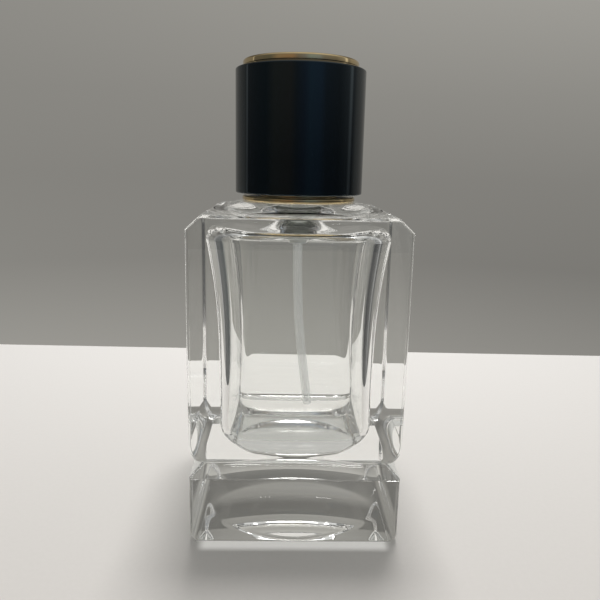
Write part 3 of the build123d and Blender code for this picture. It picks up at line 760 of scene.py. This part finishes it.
def studio_floor():
    """A pale table top that ends a little behind the bottle, with painted shade that darkens it towards the
    front and a painted glow under the foot.
    """
    material, shader = new_material("pale_floor")
    # Painted shade: the floor's colour darkens from the back towards the front, in place of the lamp's light
    # falling off.
    shaded_near_colour = mix_colour(material, noise_node(material, 900), (0.585, 0.565, 0.545), (0.615, 0.595, 0.575))
    lit_far_colour = mix_colour(material, noise_node(material, 900), (0.75, 0.735, 0.72), (0.78, 0.765, 0.75))
    nodes = material.node_tree.nodes
    place = nodes.new("ShaderNodeTexCoord")
    split = nodes.new("ShaderNodeSeparateXYZ")
    link(material, place.outputs["Object"], split.inputs["Vector"])
    distance = nodes.new("ShaderNodeMapRange")
    distance.inputs["From Min"].default_value = FLOOR_PAINTED_SHADE_START
    distance.inputs["From Max"].default_value = FLOOR_BACK
    link(material, split.outputs["Y"], distance.inputs["Value"])
    painted_shade_blend = nodes.new("ShaderNodeMix")
    painted_shade_blend.data_type = "RGBA"
    link(material, distance.outputs["Result"], painted_shade_blend.inputs["Factor"])
    link(material, shaded_near_colour, painted_shade_blend.inputs["A"])
    link(material, lit_far_colour, painted_shade_blend.inputs["B"])
    link(material, painted_shade_blend.outputs["Result"], shader.inputs["Base Color"])
    shader.inputs["Roughness"].default_value = 0.55
    gathered = inside_band(material, split.outputs["X"], -GATHER_SIDE, GATHER_SIDE)
    gathered_y = inside_band(material, split.outputs["Y"], -GATHER_FRONT, GATHER_BACK)
    both = nodes.new("ShaderNodeMath")
    both.operation = "MULTIPLY"
    link(material, gathered, both.inputs[0])
    link(material, gathered_y, both.inputs[1])
    shader.inputs["Emission Color"].default_value = (1.0, 0.99, 0.96, 1)
    glow = spread(material, both.outputs["Value"], 0.0, GATHER_STRENGTH)
    link(material, glow, shader.inputs["Emission Strength"])
    low = -AIR_GAP
    left_back = FLOOR_BACK + FLOOR_SKEW
    right_back = FLOOR_BACK - FLOOR_SKEW
    corners = [
        (-FLOOR_SIDE, -FLOOR_FRONT, low),
        (FLOOR_SIDE, -FLOOR_FRONT, low),
        (FLOOR_SIDE, right_back, low),
        (-FLOOR_SIDE, left_back, low),
    ]
    floor = new_object("floor", corners, [(0, 1, 2, 3)], material)


def math_node(nodes, links, operation, *values, clamp=False):
    """A maths node fed with numbers or other nodes' outputs."""
    node = nodes.new("ShaderNodeMath")
    node.operation = operation
    node.use_clamp = clamp
    for socket, value in zip(node.inputs, values):
        if isinstance(value, (int, float)):
            socket.default_value = value
        else:
            links.new(value, socket)
    return node.outputs["Value"]


def ramp_over(nodes, links, position, stops):
    """A colour by position along -1 to 1, from (position, (r, g, b)) stops."""
    scaled = math_node(nodes, links, "MULTIPLY_ADD", position, 0.5, 0.5, clamp=True)
    ramp = nodes.new("ShaderNodeValToRGB")
    elements = ramp.color_ramp.elements
    while len(elements) < len(stops):
        elements.new(1.0)
    for element, (place, colour) in zip(elements, stops):
        element.position = (place + 1) / 2
        element.color = (*colour, 1)
    links.new(scaled, ramp.inputs["Fac"])
    return ramp.outputs["Color"]


def mix_in_world(nodes, links, mode, factor, first, second):
    """Two colours mixed, or multiplied, by a factor."""
    mix = nodes.new("ShaderNodeMix")
    mix.data_type = "RGBA"
    mix.blend_type = mode
    links.new(factor, mix.inputs["Factor"])
    links.new(first, mix.inputs["A"])
    links.new(second, mix.inputs["B"])
    return mix.outputs["Result"]


def scaled_in_world(nodes, links, colour, factor):
    """A colour made brighter or darker."""
    node = nodes.new("ShaderNodeVectorMath")
    node.operation = "SCALE"
    node.inputs["Scale"].default_value = factor
    links.new(colour, node.inputs[0])
    return node.outputs["Vector"]


def studio_world():
    """A grey surround: the lit wall behind the bottle, a dimmer room in front, light overhead."""
    world = bpy.data.worlds.new("studio")
    bpy.context.scene.world = world
    world.use_nodes = True
    nodes, links = world.node_tree.nodes, world.node_tree.links
    background = next(n for n in nodes if n.type == "BACKGROUND")
    place = nodes.new("ShaderNodeTexCoord")
    split = nodes.new("ShaderNodeSeparateXYZ")
    links.new(place.outputs["Generated"], split.inputs["Vector"])
    x, y, z = split.outputs
    wall_colour = ramp_over(nodes, links, z, [(h, [g * w for w in WARM]) for h, g in WALL_GREYS])
    room_colour = ramp_over(nodes, links, z, [(h, (g, g, g * 0.98)) for h, g in ROOM_GREYS])
    turn = math_node(nodes, links, "ARCTAN2", x, math_node(nodes, links, "MULTIPLY", y, -1.0))
    streaks = ramp_over(nodes, links, math_node(nodes, links, "DIVIDE", turn, math.pi), [
        (degrees / 180, [STREAK_SCALE * c for c in colour]) for degrees, colour in STREAKS
    ])
    streaks = scaled_in_world(nodes, links, streaks, 1 / STREAK_SCALE)
    low_down = math_node(nodes, links, "MULTIPLY_ADD", z, -2.5, 1.4, clamp=True)
    room_colour = mix_in_world(nodes, links, "MULTIPLY", low_down, room_colour, streaks)
    behind = math_node(nodes, links, "MULTIPLY_ADD", y, 6.0, -1.5, clamp=True)
    mixed = mix_in_world(nodes, links, "MIX", behind, room_colour, wall_colour)
    tilt = math_node(nodes, links, "MAXIMUM", z, LOWEST_TILT)
    tilt = math_node(nodes, links, "MINIMUM", tilt, HIGHEST_TILT)
    side = math_node(nodes, links, "MULTIPLY", x, math_node(nodes, links, "SUBTRACT", tilt, 0.03))
    strength = math_node(nodes, links, "MULTIPLY_ADD", side, 1.3, 1.0)
    links.new(mixed, background.inputs["Color"])
    links.new(strength, background.inputs["Strength"])


def soft_lamp():
    """The soft square lamp overhead and a little behind; polished surfaces don't mirror it."""
    data = bpy.data.lights.new("overhead", "AREA")
    data.size = LAMP_SIZE
    data.energy = LAMP_POWER
    data.color = LAMP_COLOUR
    lamp = bpy.data.objects.new("overhead", data)
    lamp.location = LAMP_PLACE
    lamp.rotation_euler = (Vector(LAMP_TARGET) - Vector(LAMP_PLACE)).to_track_quat("-Z", "Y").to_euler()
    lamp.visible_glossy = False
    bpy.context.scene.collection.objects.link(lamp)


def studio_camera():
    """The camera: level with the neck, close in front of the bottle, looking down."""
    data = bpy.data.cameras.new("camera")
    data.sensor_width = 36
    data.lens = CAMERA_LENS
    data.clip_start = 0.01
    camera = bpy.data.objects.new("camera", data)
    camera.location = CAMERA_PLACE
    heading = Matrix.Rotation(-CAMERA_YAW, 3, "Z")
    tilt = Matrix.Rotation(math.pi / 2 - CAMERA_PITCH, 3, "X")
    camera.rotation_euler = (heading @ tilt @ Matrix.Rotation(CAMERA_ROLL, 3, "Z")).to_euler()
    bpy.context.scene.collection.objects.link(camera)
    bpy.context.scene.camera = camera


# ---------------------------------------------------------------- assembly

def main():
    finishes = {
        "clear_glass": clear_glass(),
        "gloss_black": gloss_black(),
        "gold_metal": gold_metal(),
        "bare_aluminium": plain_metal("bare_aluminium", (0.62, 0.62, 0.61), (0.72, 0.72, 0.71), 0.22),
        "spring_steel": plain_metal("spring_steel", (0.50, 0.50, 0.51), (0.62, 0.62, 0.63), 0.18),
        "white_plastic": moulded_plastic("white_plastic", (0.72, 0.72, 0.70), (0.80, 0.80, 0.78), 0.35),
        "natural_plastic": moulded_plastic(
            "natural_plastic", (0.80, 0.81, 0.79), (0.86, 0.87, 0.85), 0.3, 0.15
        ),
        "tube_plastic": thin_clear_plastic(),
        "black_plastic": moulded_plastic(
            "black_plastic", (0.012, 0.012, 0.013), (0.02, 0.02, 0.022), 0.3
        ),
        "soft_rubber": moulded_plastic("soft_rubber", (0.62, 0.62, 0.60), (0.70, 0.70, 0.68), 0.5),
    }
    for part in frame["record"]["subparts"]:
        node = frame["nodes"][part["node"]]
        node.data.materials.clear()
        node.data.materials.append(finishes[part["material_slot"]])
    build_glass(finishes["clear_glass"])
    build_cap(finishes["gloss_black"], finishes["gold_metal"])
    build_collar(finishes["gold_metal"])
    build_spring(finishes["spring_steel"])
    studio_floor()
    studio_world()
    soft_lamp()
    studio_camera()
    settings = bpy.context.scene
    settings.view_settings.view_transform = "Standard"
    settings.cycles.max_bounces = 32
    settings.cycles.transmission_bounces = 32
    settings.cycles.glossy_bounces = 12
    settings.cycles.caustics_refractive = False
    settings.cycles.caustics_reflective = False
    settings.cycles.transparent_max_bounces = 16


main()
